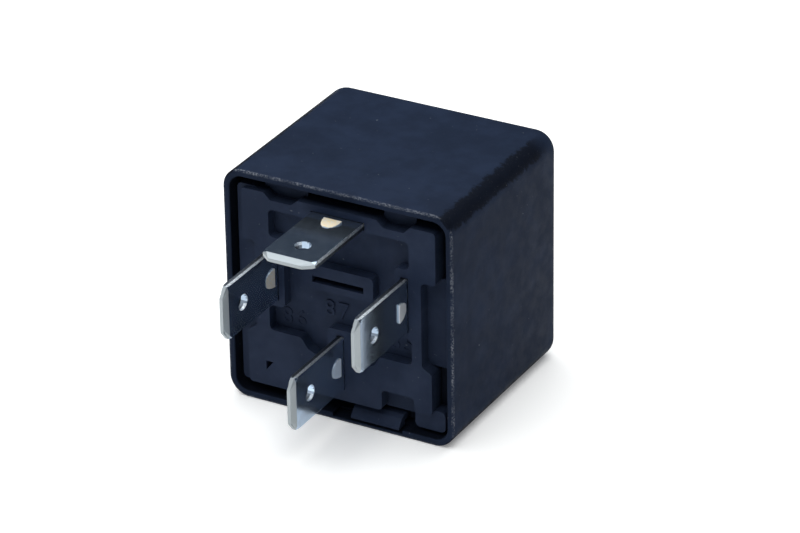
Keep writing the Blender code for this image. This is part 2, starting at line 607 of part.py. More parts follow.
def make_coil_lead(name, side):
    """The coil's wire from the winding to its tag, with a few turns round the tag."""
    start = Vector((side * 6.35 * MM, 9.15 * MM, 14.3 * MM))
    points = [start, start + Vector((side * 0.3 * MM, 0.05 * MM, 0.35 * MM))]
    turns, per_turn = 2.5, 12
    pitch = 0.42 * MM
    for step in range(int(turns * per_turn) + 1):
        angle = 2 * math.pi * step / per_turn
        away = Vector((-side * math.cos(angle) * WIRE_TURN[0], 0.0, -math.sin(angle) * WIRE_TURN[1]))
        along = (9.3 * MM + pitch * step / per_turn) * DEEPER
        points.append(Vector((side * SIDE_BLADE_X, 0.0, SIDE_BLADE_HEIGHT)) + away + along)
    curve = bpy.data.curves.new(name, "CURVE")
    curve.dimensions = "3D"
    curve.bevel_depth = WIRE_RADIUS
    curve.bevel_resolution = 1
    curve.use_fill_caps = True
    spline = curve.splines.new("POLY")
    spline.points.add(len(points) - 1)
    for target, point in zip(spline.points, points):
        target.co = (*point, 1.0)
    add_object(name, curve, "enamelled_wire")


def add_moving(name, lofts, finish, is_round=False):
    """A piece drawn with the armature down, then swung open about the hinge, where its origin is."""
    shifted = [([[point - HINGE for point in ring] for ring in rings], is_loop) for rings, is_loop in lofts]
    piece = add_piece(name, shifted, finish, is_round)
    piece.location = (0.0, 0.0, 0.0)
    piece.rotation_euler = (-OPEN_ANGLE, 0.0, 0.0)
    piece.parent = bpy.data.objects["armature_hinge"]
    return piece


def shifted_drill(centre, axis, radius, length, sides=12):
    return drill(centre - HINGE, axis, radius, length, sides)


def make_armature():
    """The flat iron armature, narrower at its free end, with its heel chamfered for the spring's bend."""
    near = HINGE_DEPTH
    far = HINGE_DEPTH + ARMATURE_THICKNESS
    wide, narrow = ARMATURE_HALF_WIDTH, ARMATURE_END_HALF_WIDTH
    stations = [(HINGE_HEIGHT, wide, far - HEEL_CHAMFER), (HINGE_HEIGHT + HEEL_CHAMFER, wide, far)]
    stations += [(13.5 * MM, wide, far), (16.8 * MM, narrow, far), (ARMATURE_TOP, narrow, far)]
    rings = []
    for height, half_width, outer in stations:
        ring = [Vector((-half_width, near, height)), Vector((half_width, near, height))]
        ring += [Vector((half_width, outer, height)), Vector((-half_width, outer, height))]
        rings.append(ring)
    armature = add_moving("armature", [(rings, False)], "plated_steel")
    holes = []
    for side in (-1, 1):
        place = Vector((side * ARMATURE_RIVET_X, near, ARMATURE_RIVET_HEIGHT))
        holes.append(shifted_drill(place, DEEPER, RIVET_RADIUS + RUNNING_GAP, 5 * MM))
    combine(armature, holes, "DIFFERENCE")


def make_armature_rivets():
    near = HINGE_DEPTH + 0.2 * MM
    seat = HINGE_DEPTH + ARMATURE_THICKNESS + SEAT + SPRING_THICKNESS + SEAT
    profile = [(RIVET_RADIUS, near), (RIVET_RADIUS, seat), (RIVET_HEAD_RADIUS, seat)]
    profile += [(RIVET_HEAD_RADIUS, seat + RIVET_HEAD * 0.5), (RIVET_HEAD_RADIUS * 0.65, seat + RIVET_HEAD)]
    for label, side in (("left", -1), ("right", 1)):
        start = Vector((side * ARMATURE_RIVET_X, 0.0, ARMATURE_RIVET_HEIGHT))
        rivet = turned(profile, start, DEEPER, 16)
        add_moving(f"armature_rivet_{label}", [rivet], "rivet_steel", is_round=True)


def make_moving_contact():
    face = fixed_contact_depth() + SEAT
    seat = HINGE_DEPTH + ARMATURE_THICKNESS
    tail = seat + SEAT + SPRING_THICKNESS + SEAT
    profile = [(CONTACT_RADIUS - CONTACT_CROWN, face), (CONTACT_RADIUS, face + CONTACT_CROWN)]
    profile += [(CONTACT_RADIUS, seat), (CONTACT_SHANK_RADIUS, seat), (CONTACT_SHANK_RADIUS, tail)]
    profile += [(CONTACT_TAIL_RADIUS, tail), (CONTACT_TAIL_RADIUS, tail + CONTACT_TAIL / 2)]
    profile += [(CONTACT_SHANK_RADIUS, tail + CONTACT_TAIL)]
    start = Vector((0.0, 0.0, CONTACT_HEIGHT))
    add_moving("moving_contact", [turned(profile, start, DEEPER)], "contact_silver", is_round=True)


def swung(depth, height):
    """A point drawn with the armature down, after the armature has swung open."""
    out, up = depth - HINGE_DEPTH, height - HINGE_HEIGHT
    cosine, sine = math.cos(OPEN_ANGLE), math.sin(OPEN_ANGLE)
    return Vector((HINGE_DEPTH + out * cosine + up * sine, HINGE_HEIGHT - out * sine + up * cosine))


def make_contact_spring():
    """The leaf spring: riveted under the yoke, bent round the hinge, and riveted along the armature."""
    fixed_height = YOKE_HEIGHT - SEAT - SPRING_THICKNESS / 2
    leaf_depth = HINGE_DEPTH + ARMATURE_THICKNESS + SEAT + SPRING_THICKNESS / 2
    low, high = swung(leaf_depth, 6.0 * MM), swung(leaf_depth, CONTACT_HEIGHT + 1.9 * MM)
    slope = (high.x - low.x) / (high.y - low.y)
    corner = Vector((low.x + slope * (fixed_height - low.y), fixed_height))
    bend = fillet([(9.2 * MM, fixed_height), corner, low], 1.25 * MM, 8, is_closed=False)
    moving = [low] + [swung(leaf_depth, height * MM) for height in (10.8, 13.5, 18.9, 20.4)] + [high]
    profile = bend[:-1] + moving
    path = [Vector((0.0, point[0], point[1])) - HINGE for point in profile]
    half_widths = [5.4 * MM] * (len(bend) + 1) + [3.2 * MM, 3.2 * MM, 2.3 * MM, 1.9 * MM]
    shape = strip(path, half_widths, [SPRING_THICKNESS / 2] * len(path), ACROSS)
    spring = add_piece("contact_spring", [shape], "spring_bronze")
    spring.location = (0.0, 0.0, 0.0)
    spring.parent = bpy.data.objects["armature_hinge"]
    tilt = Vector((0.0, math.cos(OPEN_ANGLE), -math.sin(OPEN_ANGLE)))
    holes = []
    for side in (-1, 1):
        place = Vector((side * YOKE_RIVET_X, YOKE_RIVET_DEPTH, YOKE_HEIGHT))
        holes.append(shifted_drill(place, UP, RIVET_RADIUS + RUNNING_GAP, 3 * MM))
        riveted = swung(leaf_depth, ARMATURE_RIVET_HEIGHT)
        place = Vector((side * ARMATURE_RIVET_X, riveted.x, riveted.y))
        holes.append(shifted_drill(place, tilt, RIVET_RADIUS + RUNNING_GAP, 2 * MM))
    eye = swung(leaf_depth, CONTACT_HEIGHT)
    place = Vector((0.0, eye.x, eye.y))
    holes.append(shifted_drill(place, tilt, CONTACT_SHANK_RADIUS + RUNNING_GAP, 2 * MM))
    combine(spring, holes, "DIFFERENCE")


def make_yoke_rivets():
    seat = YOKE_HEIGHT - SEAT - SPRING_THICKNESS - SEAT
    profile = [(RIVET_HEAD_RADIUS * 0.65, seat - RIVET_HEAD), (RIVET_HEAD_RADIUS, seat - RIVET_HEAD * 0.5)]
    profile += [(RIVET_HEAD_RADIUS, seat), (RIVET_RADIUS, seat), (RIVET_RADIUS, YOKE_HEIGHT + 1.4 * MM)]
    for label, side in (("left", -1), ("right", 1)):
        start = Vector((side * YOKE_RIVET_X, YOKE_RIVET_DEPTH, 0.0))
        add_piece(f"yoke_rivet_{label}", [turned(profile, start, UP, 16)], "rivet_steel", is_round=True)


def make_hinge_empty():
    """The armature's hinge: an empty on the joint's axis that the moving pieces hang from."""
    hinge = bpy.data.objects.new("armature_hinge", None)
    bpy.context.scene.collection.objects.link(hinge)
    hinge.location = ORIGIN + HINGE


def main():
    clear_scene()
    make_cover()
    make_base_plate()
    make_terminal_30()
    make_side_terminal("terminal_85", SIDE_BLADE_X)
    make_side_terminal("terminal_86", -SIDE_BLADE_X)
    make_terminal_87()
    make_rest_stop()
    make_yoke()
    make_core()
    make_bobbin()
    make_winding()
    make_coil_lead("coil_lead_85", 1)
    make_coil_lead("coil_lead_86", -1)
    make_hinge_empty()
    make_armature()
    make_armature_rivets()
    make_moving_contact()
    make_contact_spring()
    make_yoke_rivets()


main()
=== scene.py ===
import math

import bmesh
import bpy
from mathutils import Matrix, Vector


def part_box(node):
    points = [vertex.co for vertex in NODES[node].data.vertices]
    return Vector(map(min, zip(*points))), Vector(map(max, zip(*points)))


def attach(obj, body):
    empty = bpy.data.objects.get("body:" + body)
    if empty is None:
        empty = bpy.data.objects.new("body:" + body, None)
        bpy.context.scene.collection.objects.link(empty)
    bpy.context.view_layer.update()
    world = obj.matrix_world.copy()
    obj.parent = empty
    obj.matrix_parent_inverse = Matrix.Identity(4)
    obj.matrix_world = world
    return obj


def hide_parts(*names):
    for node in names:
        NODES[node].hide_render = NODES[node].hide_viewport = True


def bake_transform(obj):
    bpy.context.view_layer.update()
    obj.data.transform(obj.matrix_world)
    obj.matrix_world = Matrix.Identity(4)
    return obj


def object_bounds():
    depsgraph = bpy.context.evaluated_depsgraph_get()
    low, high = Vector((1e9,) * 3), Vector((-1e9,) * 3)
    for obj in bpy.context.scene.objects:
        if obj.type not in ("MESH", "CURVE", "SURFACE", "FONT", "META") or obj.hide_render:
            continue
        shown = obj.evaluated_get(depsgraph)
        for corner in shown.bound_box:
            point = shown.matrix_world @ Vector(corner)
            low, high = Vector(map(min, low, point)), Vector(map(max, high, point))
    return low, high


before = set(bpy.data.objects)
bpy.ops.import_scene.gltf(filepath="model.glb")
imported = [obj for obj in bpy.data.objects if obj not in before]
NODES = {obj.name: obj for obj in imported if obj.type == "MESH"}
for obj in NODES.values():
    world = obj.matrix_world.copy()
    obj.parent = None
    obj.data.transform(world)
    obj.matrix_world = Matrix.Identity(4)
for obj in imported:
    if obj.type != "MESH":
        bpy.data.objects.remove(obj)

# Looks of the plug in relay: a fine cover, bobbin and winding, a copy of the spring leaf,
# the moulded terminal numbers, and all the materials.

MM = 0.001
CAD_BOX = [list(corner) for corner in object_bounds()]
COVER_LOW, COVER_HIGH = (Vector(corner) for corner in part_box("cover"))
RIM_Y = COVER_LOW.y

scene = bpy.context.scene
scene.view_settings.view_transform = "Standard"


# ---------------------------------------------------------------- camera, floor and light

CAMERA_AZIMUTH = math.radians(29.40)
CAMERA_ELEVATION = math.radians(27.57)
CAMERA_ROLL = math.radians(-0.92)
CAMERA_DISTANCE = 0.4494
CAMERA_LENS = 191.4
CAMERA_TARGET = Vector((7.71 * MM, RIM_Y, 20.83 * MM))
SKY_COLOUR = (0.50, 0.82, 1.40, 1.0)
SKY_STRENGTH = 0.030
OVERHEAD_PLACE = Vector((-0.22, 0.05, 0.75))
OVERHEAD_SIZE = (1.4, 1.4)
OVERHEAD_POWER = 16.2
FRONT_PLACE = Vector((-0.25, -0.95, 0.45))
FRONT_SIZE = (0.7, 0.5)
FRONT_POWER = 0.7
FLOOR_HALF_SIZE = 3.0
FLOOR_GLOW = 0.23


def make_camera():
    azimuth, elevation, roll = CAMERA_AZIMUTH, CAMERA_ELEVATION, CAMERA_ROLL
    flat = math.cos(elevation)
    back = Vector((math.sin(azimuth) * flat, -math.cos(azimuth) * flat, math.sin(elevation)))
    level = Vector((math.cos(azimuth), math.sin(azimuth), 0.0))
    upright = back.cross(level)
    right = level * math.cos(roll) + upright * math.sin(roll)
    up = upright * math.cos(roll) - level * math.sin(roll)
    data = bpy.data.cameras.new("camera")
    data.lens = CAMERA_LENS
    data.sensor_width = 36.0
    data.clip_start = 0.01
    data.clip_end = 20.0
    camera = bpy.data.objects.new("camera", data)
    scene.collection.objects.link(camera)
    rotation = Matrix((right, up, back)).transposed().to_4x4()
    camera.matrix_world = Matrix.Translation(CAMERA_TARGET + back * CAMERA_DISTANCE) @ rotation
    scene.camera = camera


def add_area_light(name, place, target, size, power, colour):
    data = bpy.data.lights.new(name, "AREA")
    data.shape = "RECTANGLE"
    data.size, data.size_y = size
    data.energy = power
    data.color = colour
    light = bpy.data.objects.new(name, data)
    scene.collection.objects.link(light)
    light.location = place
    light.rotation_euler = (Vector(target) - Vector(place)).to_track_quat("-Z", "Y").to_euler()


def make_studio():
    world = bpy.data.worlds.new("studio")
    scene.world = world
    world.use_nodes = True
    background = world.node_tree.nodes["Background"]
    background.inputs["Color"].default_value = SKY_COLOUR
    background.inputs["Strength"].default_value = SKY_STRENGTH
    below = Vector((OVERHEAD_PLACE.x, OVERHEAD_PLACE.y, 0.0))
    middle = (0.0, 0.0, 0.01)
    add_area_light("overhead", OVERHEAD_PLACE, below, OVERHEAD_SIZE, OVERHEAD_POWER, (0.97, 0.99, 1.0))
    add_area_light("front", FRONT_PLACE, middle, FRONT_SIZE, FRONT_POWER, (1.0, 0.97, 0.94))


def make_floor():
    mesh = bpy.data.meshes.new("floor")
    half = FLOOR_HALF_SIZE
    corners = [(-half, -half, 0.0), (half, -half, 0.0), (half, half, 0.0), (-half, half, 0.0)]
    mesh.from_pydata(corners, [], [(0, 1, 2, 3)])
    floor = bpy.data.objects.new("floor", mesh)
    scene.collection.objects.link(floor)
    material = bpy.data.materials.new("floor_white")
    material.use_nodes = True
    shader = material.node_tree.nodes["Principled BSDF"]
    shader.inputs["Base Color"].default_value = (0.93, 0.92, 0.90, 1.0)
    shader.inputs["Roughness"].default_value = 0.9
    shader.inputs["Specular IOR Level"].default_value = 0.1
    shader.inputs["Emission Color"].default_value = (1.0, 1.0, 1.0, 1.0)
    shader.inputs["Emission Strength"].default_value = FLOOR_GLOW
    mesh.materials.append(material)


# ---------------------------------------------------------------- material building blocks

class Look:
    """One procedural material: a Principled shader and short calls that add nodes to it."""

    def __init__(self, name, roughness, metallic=0.0, specular=0.5):
        self.material = bpy.data.materials.new(name)
        self.material.use_nodes = True
        self.nodes = self.material.node_tree.nodes
        self.links = self.material.node_tree.links
        self.shader = self.nodes["Principled BSDF"]
        self.shader.inputs["Roughness"].default_value = roughness
        self.shader.inputs["Metallic"].default_value = metallic
        self.shader.inputs["Specular IOR Level"].default_value = specular
        self.place = self.nodes.new("ShaderNodeTexCoord").outputs["Object"]
        self.height = None

    def link(self, source, target):
        self.links.new(source, target)

    def stretched(self, stretch):
        node = self.nodes.new("ShaderNodeMapping")
        node.inputs["Scale"].default_value = stretch
        self.link(self.place, node.inputs["Vector"])
        return node.outputs["Vector"]

    def noise(self, size, detail=3.0, roughness=0.5, stretch=(1.0, 1.0, 1.0)):
        """Noise whose features are about size metres wide."""
        node = self.nodes.new("ShaderNodeTexNoise")
        node.inputs["Scale"].default_value = 1.0 / size
        node.inputs["Detail"].default_value = detail
        node.inputs["Roughness"].default_value = roughness
        self.link(self.stretched(stretch), node.inputs["Vector"])
        return node.outputs["Fac"]

    def ramp(self, factor, low, high, out_low=0.0, out_high=1.0):
        node = self.nodes.new("ShaderNodeMapRange")
        node.interpolation_type = "SMOOTHSTEP"
        for key, value in (("From Min", low), ("From Max", high), ("To Min", out_low), ("To Max", out_high)):
            node.inputs[key].default_value = value
        self.link(factor, node.inputs["Value"])
        return node.outputs["Result"]

    def math(self, operation, first, second):
        node = self.nodes.new("ShaderNodeMath")
        node.operation = operation
        for socket, value in zip(node.inputs, (first, second)):
            if isinstance(value, (int, float)):
                socket.default_value = value
            else:
                self.link(value, socket)
        return node.outputs["Value"]

    def split(self, vector):
        node = self.nodes.new("ShaderNodeSeparateXYZ")
        self.link(vector, node.inputs["Vector"])
        return node.outputs

    def mix(self, factor, first, second):
        """A colour between first and second; each is a colour or a socket."""
        node = self.nodes.new("ShaderNodeMix")
        node.data_type = "RGBA"
        self.link(factor, node.inputs["Factor"])
        for socket, value in ((node.inputs[6], first), (node.inputs[7], second)):
            if isinstance(value, tuple):
                socket.default_value = (*value, 1.0)
            else:
                self.link(value, socket)
        return node.outputs[2]

    def colour(self, socket):
        self.link(socket, self.shader.inputs["Base Color"])

    def roughness(self, socket):
        self.link(socket, self.shader.inputs["Roughness"])

    def bump(self, factor, depth, strength=1.0):
        """Stack a bump layer: depth is the relief's height in metres."""
        node = self.nodes.new("ShaderNodeBump")
        node.inputs["Distance"].default_value = depth
        node.inputs["Strength"].default_value = strength
        self.link(factor, node.inputs["Height"])
        if self.height is not None:
            self.link(self.height, node.inputs["Normal"])
        self.height = node.outputs["Normal"]
        self.link(self.height, self.shader.inputs["Normal"])


# Near-black blue painted as shade: in the base's deep recesses, inside the cover's open end and along its
# rounded long edges.
PAINTED_SHADE_COLOUR = (0.0040, 0.0052, 0.0090)
DUST = (0.16, 0.18, 0.20)
# Pale grey for rubbed plastic and for the painted highlight on the rim's rounded edge.
RUBBED_AND_HIGHLIT_PLASTIC = (0.30, 0.32, 0.36)
COVER_COLOURS = ((0.0120, 0.0182, 0.0352), (0.0156, 0.0239, 0.0466))
BASE_COLOURS = ((0.0150, 0.0225, 0.0440), (0.0215, 0.0310, 0.0580))


def add_plastic_detail(look, dark, light, painted_shade, wear_and_highlight=None):
    """Moulded plastic: cloudy colour, fine grain, flow marks; a painted-shade mask darkens shaded places,
    and a wear-and-highlight mask lightens rubbed places and painted highlights.
    """
    cloud = look.ramp(look.noise(5.0 * MM, 4.0, 0.6), 0.35, 0.68)
    mottled = look.mix(cloud, dark, light)
    # Painted shade: the mask in the fourth argument darkens the colour towards near-black blue.
    mottled = look.mix(painted_shade, mottled, PAINTED_SHADE_COLOUR)
    dust = look.ramp(look.noise(0.45 * MM, 2.0, 0.6), 0.735, 0.79)
    mottled = look.mix(look.math("MULTIPLY", dust, 0.5), mottled, DUST)
    rough = look.ramp(look.noise(1.6 * MM, 5.0, 0.65), 0.3, 0.7, 0.42, 0.60)
    if wear_and_highlight is not None:
        # Lightens rubbed places and paints the highlight along the rim's rounded edge.
        mottled = look.mix(wear_and_highlight, mottled, RUBBED_AND_HIGHLIT_PLASTIC)
    look.colour(mottled)
    look.roughness(rough)
    look.bump(look.noise(0.14 * MM, 2.0), 0.010 * MM, 0.5)
    look.bump(look.noise(6.0 * MM, 2.0, 0.5, (1.0, 0.4, 1.0)), 0.05 * MM, 0.25)


def cover_side_and_top(look, x, z):
    """How far a point lies outside the cover's left and right faces, and outside its top and bottom."""
    half_width = (COVER_HIGH.x - COVER_LOW.x) / 2
    half_height = COVER_HIGH.z / 2
    off_centre = look.math("SUBTRACT", z, half_height)
    side = look.math("SUBTRACT", look.math("ABSOLUTE", x, 0.0), half_width)
    top = look.math("SUBTRACT", look.math("ABSOLUTE", off_centre, 0.0), half_height)
    return side, top


def worn_and_highlit_rim(look, farthest, y):
    """A speckled pale line on the rim's outer edge: partly wear where it has been rubbed, partly a painted
    highlight on its rounding.
    """
    outer = look.ramp(farthest, -0.36 * MM, -0.12 * MM)
    near_rim = look.ramp(y, RIM_Y + 0.32 * MM, RIM_Y + 0.10 * MM)
    patches = look.ramp(look.noise(2.2 * MM, 3.0, 0.6), 0.38, 0.62, 0.25, 1.0)
    speckle = look.math("MULTIPLY", patches, look.ramp(look.noise(0.17 * MM, 3.0, 0.7), 0.42, 0.64))
    return look.math("MULTIPLY", look.math("MULTIPLY", outer, near_rim), speckle)


def dark_long_edges(look, side, top, y):
    """A ragged dark band of painted shade on the cover's four long edges, which fades out before the closed
    end.
    """
    ragged = look.math("MULTIPLY", look.math("SUBTRACT", look.noise(0.9 * MM, 5.0, 0.7), 0.5), 1.1 * MM)
    across = look.math("ADD", look.math("ADD", side, top), ragged)
    corner = look.ramp(across, -1.90 * MM, -1.60 * MM)
    closed_end = look.ramp(y, COVER_HIGH.y - 1.5 * MM, COVER_HIGH.y - 5.0 * MM)
    return look.math("MULTIPLY", corner, closed_end)


def dark_inside(look, farthest, y):
    """Painted shade inside the open end, which leaves the flat face of the rim unshaded."""
    inside = look.ramp(farthest, -0.10 * MM, -0.45 * MM)
    front = look.ramp(y, RIM_Y + 6.0 * MM, RIM_Y + 0.05 * MM)
    behind_rim = look.ramp(y, RIM_Y + 0.03 * MM, RIM_Y + 0.20 * MM, 0.12, 0.94)
    return look.math("MULTIPLY", look.math("MULTIPLY", inside, front), behind_rim)


def cover_plastic():
    look = Look("cover_plastic", 0.5, specular=0.02)
    x, y, z = look.split(look.place)[:3]
    side, top = cover_side_and_top(look, x, z)
    farthest = look.math("MAXIMUM", side, top)
    corner = dark_long_edges(look, side, top, y)
    rubbed = look.ramp(look.noise(0.20 * MM, 3.0, 0.7), 0.62, 0.72)
    edge = look.math("MULTIPLY", look.math("MULTIPLY", corner, rubbed), 0.16)
    # The pale rim line is partly wear and partly a painted highlight; the speckle on the long edges is wear.
    wear_and_highlight = look.math("MULTIPLY", look.math("MAXIMUM", worn_and_highlit_rim(look, farthest, y), edge), 0.55)
    # Painted shade inside the open end and along the rounded long edges.
    dark = look.math("MAXIMUM", dark_inside(look, farthest, y), look.math("MULTIPLY", corner, 0.86))
    add_plastic_detail(look, *COVER_COLOURS, dark, wear_and_highlight)
    return look.material


def base_plastic():
    look = Look("base_plastic", 0.5, specular=0.04)
    depth = look.split(look.place)[1]
    # Painted shade: the base darkens the deeper its surface lies behind the rim, in the moat and on the
    # ledges.
    sunk = look.ramp(depth, RIM_Y + 1.65 * MM, RIM_Y + 2.7 * MM, 0.0, 0.85)
    add_plastic_detail(look, *BASE_COLOURS, sunk)
    return look.material


TIP_Y = CAD_BOX[0][1]
# The tin's blue tint is a painted reflection of the navy plastic around the blades.
TIN_WITH_BLUE_REFLECTION = (0.45, 0.56, 0.70)
COINED_TIN = (0.35, 0.385, 0.405)
BRASS = (0.95, 0.76, 0.42)
BARE_TIN = (0.80, 0.82, 0.83)
PITTED_TIN = (0.80, 0.86, 0.90)
FRACTURE_COLOURS = ((0.030, 0.038, 0.052), (0.16, 0.18, 0.21))
DRAWN_COLOURS = ((0.16, 0.19, 0.24), (0.88, 0.93, 0.97))
TIN_METALLIC = 0.96


def tin_colour(look, place, painted_light_tone, cloud, torn, tip, lanced, sheared, burnished, has_brass):
    """Rolled faces with pits near the tip, a coined tip, a scraped lance, edges half drawn and half torn."""
    # Painted light: each blade's tone makes its tin lighter or darker by how much light its faces catch.
    bright_tin = tuple(channel * painted_light_tone for channel in TIN_WITH_BLUE_REFLECTION)
    dull_tin = tuple(channel * 0.86 for channel in bright_tin)
    face = look.mix(look.ramp(cloud, 0.35, 0.7), bright_tin, dull_tin)
    pits = look.ramp(look.noise(0.16 * MM, 3.0, 0.7), 0.62, 0.70)
    near_tip = look.ramp(place[1], TIP_Y + 4.5 * MM, TIP_Y + 1.0 * MM, 0.08, 0.55)
    face = look.mix(look.math("MULTIPLY", pits, near_tip), face, PITTED_TIN)
    face = look.mix(tip, face, COINED_TIN)
    scraped = look.mix(look.ramp(torn, 0.35, 0.60), BARE_TIN, BRASS if has_brass else BARE_TIN)
    face = look.mix(lanced, face, scraped)
    fracture = look.mix(look.ramp(torn, 0.42, 0.62), *FRACTURE_COLOURS)
    drawn = look.mix(look.ramp(torn, 0.36, 0.56), *DRAWN_COLOURS)
    look.colour(look.mix(sheared, face, look.mix(burnished, fracture, drawn)))


def tin_finish(look, cloud, torn, tip, raised, sheared):
    """Gloss and relief: smooth rolled faces, rougher where the metal was cut, coined or lanced."""
    less_metal = look.math("MAXIMUM", look.math("MULTIPLY", raised, 0.45), look.math("MULTIPLY", tip, 0.25))
    look.link(look.math("SUBTRACT", TIN_METALLIC, less_metal), look.shader.inputs["Metallic"])
    streak = look.noise(0.10 * MM, 3.0, 0.6, (1.0, 0.06, 1.0))
    blend = look.math("ADD", look.math("MULTIPLY", streak, 0.5), look.math("MULTIPLY", cloud, 0.5))
    smooth_face = look.ramp(blend, 0.3, 0.7, 0.10, 0.20)
    worked = look.math("MULTIPLY", look.math("MAXIMUM", sheared, look.math("MULTIPLY", tip, 1.5)), 0.20)
    worked = look.math("MAXIMUM", worked, look.math("MULTIPLY", raised, 0.36))
    look.roughness(look.math("ADD", smooth_face, worked))
    look.bump(streak, 0.002 * MM, 0.35)
    relief = look.math("ADD", look.math("MULTIPLY", sheared, 0.9), look.math("MULTIPLY", tip, 0.06))
    relief = look.math("ADD", relief, look.math("MULTIPLY", raised, 0.15))
    look.bump(look.math("MULTIPLY", torn, look.math("ADD", relief, 0.02)), 0.07 * MM, 0.8)


def tin_plate(name, flat_axis, edge_axis, flat_level, painted_light_tone=1.0, lance=0.0, brass=0.0):
    """Tin plate of one blade: flat_axis is square to its flat face, which lies at flat_level."""
    look = Look(name, 0.16, metallic=TIN_METALLIC)
    normal = look.split(look.nodes.new("ShaderNodeNewGeometry").outputs["True Normal"])
    place = look.split(look.place)
    across = place["XYZ".index(flat_axis)]
    sheared = look.ramp(look.math("ABSOLUTE", normal["XYZ".index(edge_axis)], 0.0), 0.45, 0.80)
    tip = look.ramp(place[1], TIP_Y + 1.0 * MM, TIP_Y + 0.85 * MM)
    sheared = look.math("MULTIPLY", sheared, look.math("SUBTRACT", 1.0, tip))
    raised = look.ramp(across, flat_level + 0.02 * MM, flat_level + 0.05 * MM)
    lanced = look.math("MULTIPLY", raised, max(brass, lance))
    burnished = look.ramp(across, flat_level - 0.44 * MM, flat_level - 0.30 * MM)
    cloud = look.noise(1.5 * MM, 4.0, 0.6)
    torn = look.noise(0.16 * MM, 4.0, 0.75, (1.0, 1.4, 1.0))
    tin_colour(look, place, painted_light_tone, cloud, torn, tip, lanced, sheared, burnished, brass > 0)
    tin_finish(look, cloud, torn, tip, raised, sheared)
    return look.material


METAL_GRAIN = 0.09 * MM
NO_STRETCH = (1.0, 1.0, 1.0)


def brushed(name, tint, dark, roughness, stretch):
    """Plated or rolled metal with a directional grain and a little tarnish."""
    look = Look(name, roughness, metallic=1.0)
    tarnish = look.ramp(look.noise(1.8 * MM, 5.0, 0.65), 0.35, 0.72)
    look.colour(look.mix(tarnish, tint, dark))
    fine = look.noise(METAL_GRAIN, 3.0, 0.6, stretch)
    look.roughness(look.ramp(fine, 0.25, 0.75, roughness * 0.75, roughness * 1.3))
    look.bump(fine, 0.004 * MM, 0.5)
    return look.material


def nylon():
    look = Look("bobbin_nylon", 0.45, specular=0.45)
    look.shader.inputs["Subsurface Weight"].default_value = 0.15
    look.shader.inputs["Subsurface Radius"].default_value = (0.8 * MM, 0.7 * MM, 0.5 * MM)
    look.shader.inputs["Subsurface Scale"].default_value = 1.0
    cloud = look.ramp(look.noise(2.5 * MM, 4.0, 0.6), 0.3, 0.7)
    look.colour(look.mix(cloud, (0.60, 0.57, 0.47), (0.70, 0.67, 0.58)))
    look.roughness(look.ramp(look.noise(0.6 * MM, 4.0), 0.3, 0.7, 0.38, 0.55))
    look.bump(look.noise(0.18 * MM, 2.0), 0.008 * MM, 0.5)
    return look.material


def enamelled_wire():
    look = Look("enamelled_wire", 0.28, metallic=0.85)
    look.shader.inputs["Coat Weight"].default_value = 0.6
    look.shader.inputs["Coat Roughness"].default_value = 0.12
    shade = look.ramp(look.noise(0.5 * MM, 3.0, 0.6, (1.0, 3.0, 1.0)), 0.3, 0.7)
    look.colour(look.mix(shade, (0.44, 0.13, 0.045), (0.62, 0.22, 0.08)))
    look.roughness(look.ramp(look.noise(0.25 * MM, 3.0), 0.3, 0.7, 0.22, 0.36))
    look.bump(look.noise(0.12 * MM, 2.0), 0.003 * MM, 0.4)
    return look.material


LOOKS = {
    "cover_plastic": cover_plastic(),
    "base_plastic": base_plastic(),
    # The tones are painted light: one tin made lighter or darker per blade by how much light each blade's
    # faces reflect.
    "tin_30": tin_plate("tin_30", "X", "Z", 0.4 * MM, painted_light_tone=1.22, lance=0.2),
    "tin_85": tin_plate("tin_85", "X", "Z", 8.4 * MM, painted_light_tone=0.84, lance=0.8),
    "tin_86": tin_plate("tin_86", "X", "Z", -7.6 * MM, painted_light_tone=0.96, brass=0.6),
    "tin_87": tin_plate("tin_87", "Z", "X", 24.7 * MM, painted_light_tone=0.88, brass=0.95),
    "contact_silver": brushed("contact_silver", (0.86, 0.85, 0.82), (0.66, 0.63, 0.57), 0.22, NO_STRETCH),
    "plated_steel": brushed("plated_steel", (0.66, 0.65, 0.61), (0.52, 0.51, 0.47), 0.30, (1.0, 0.12, 1.0)),
    "rivet_steel": brushed("rivet_steel", (0.62, 0.61, 0.58), (0.45, 0.44, 0.42), 0.28, NO_STRETCH),
    "spring_bronze": brushed("spring_bronze", (0.83, 0.52, 0.30), (0.68, 0.40, 0.22), 0.24, (0.1, 1.0, 1.0)),
    "bobbin_nylon": nylon(),
    "enamelled_wire": enamelled_wire(),
}


def set_look(piece, look_name):
    piece.data.materials.clear()
    piece.data.materials.append(LOOKS[look_name])


# ---------------------------------------------------------------- mesh building blocks

def mesh_from_rings(name, rings, is_loop=False):
    """A skin over rings of points, closed by flat ends or on itself."""
    mesh = bpy.data.meshes.new(name)
    bm = bmesh.new()
    loops = [[bm.verts.new(point) for point in ring] for ring in rings]
    pairs = list(zip(loops, loops[1:]))
    if is_loop:
        pairs.append((loops[-1], loops[0]))
    else:
        bm.faces.new(list(reversed(loops[0])))
        bm.faces.new(loops[-1])
    for near, far in pairs:
        for index in range(len(near)):
            following = (index + 1) % len(near)
            bm.faces.new((near[index], near[following], far[following], far[index]))
    bmesh.ops.recalc_face_normals(bm, faces=bm.faces)
    bm.to_mesh(mesh)
    bm.free()
    return mesh


def add_piece(name, mesh, look_name, body, replaced=None):
    piece = bpy.data.objects.new(name, mesh)
    scene.collection.objects.link(piece)
    set_look(piece, look_name)
    if replaced:
        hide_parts(replaced)
    if body:
        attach(piece, body)
    return piece


def smooth(piece, degrees=35):
    piece.data.shade_smooth()
    piece.data.set_sharp_from_angle(angle=math.radians(degrees))


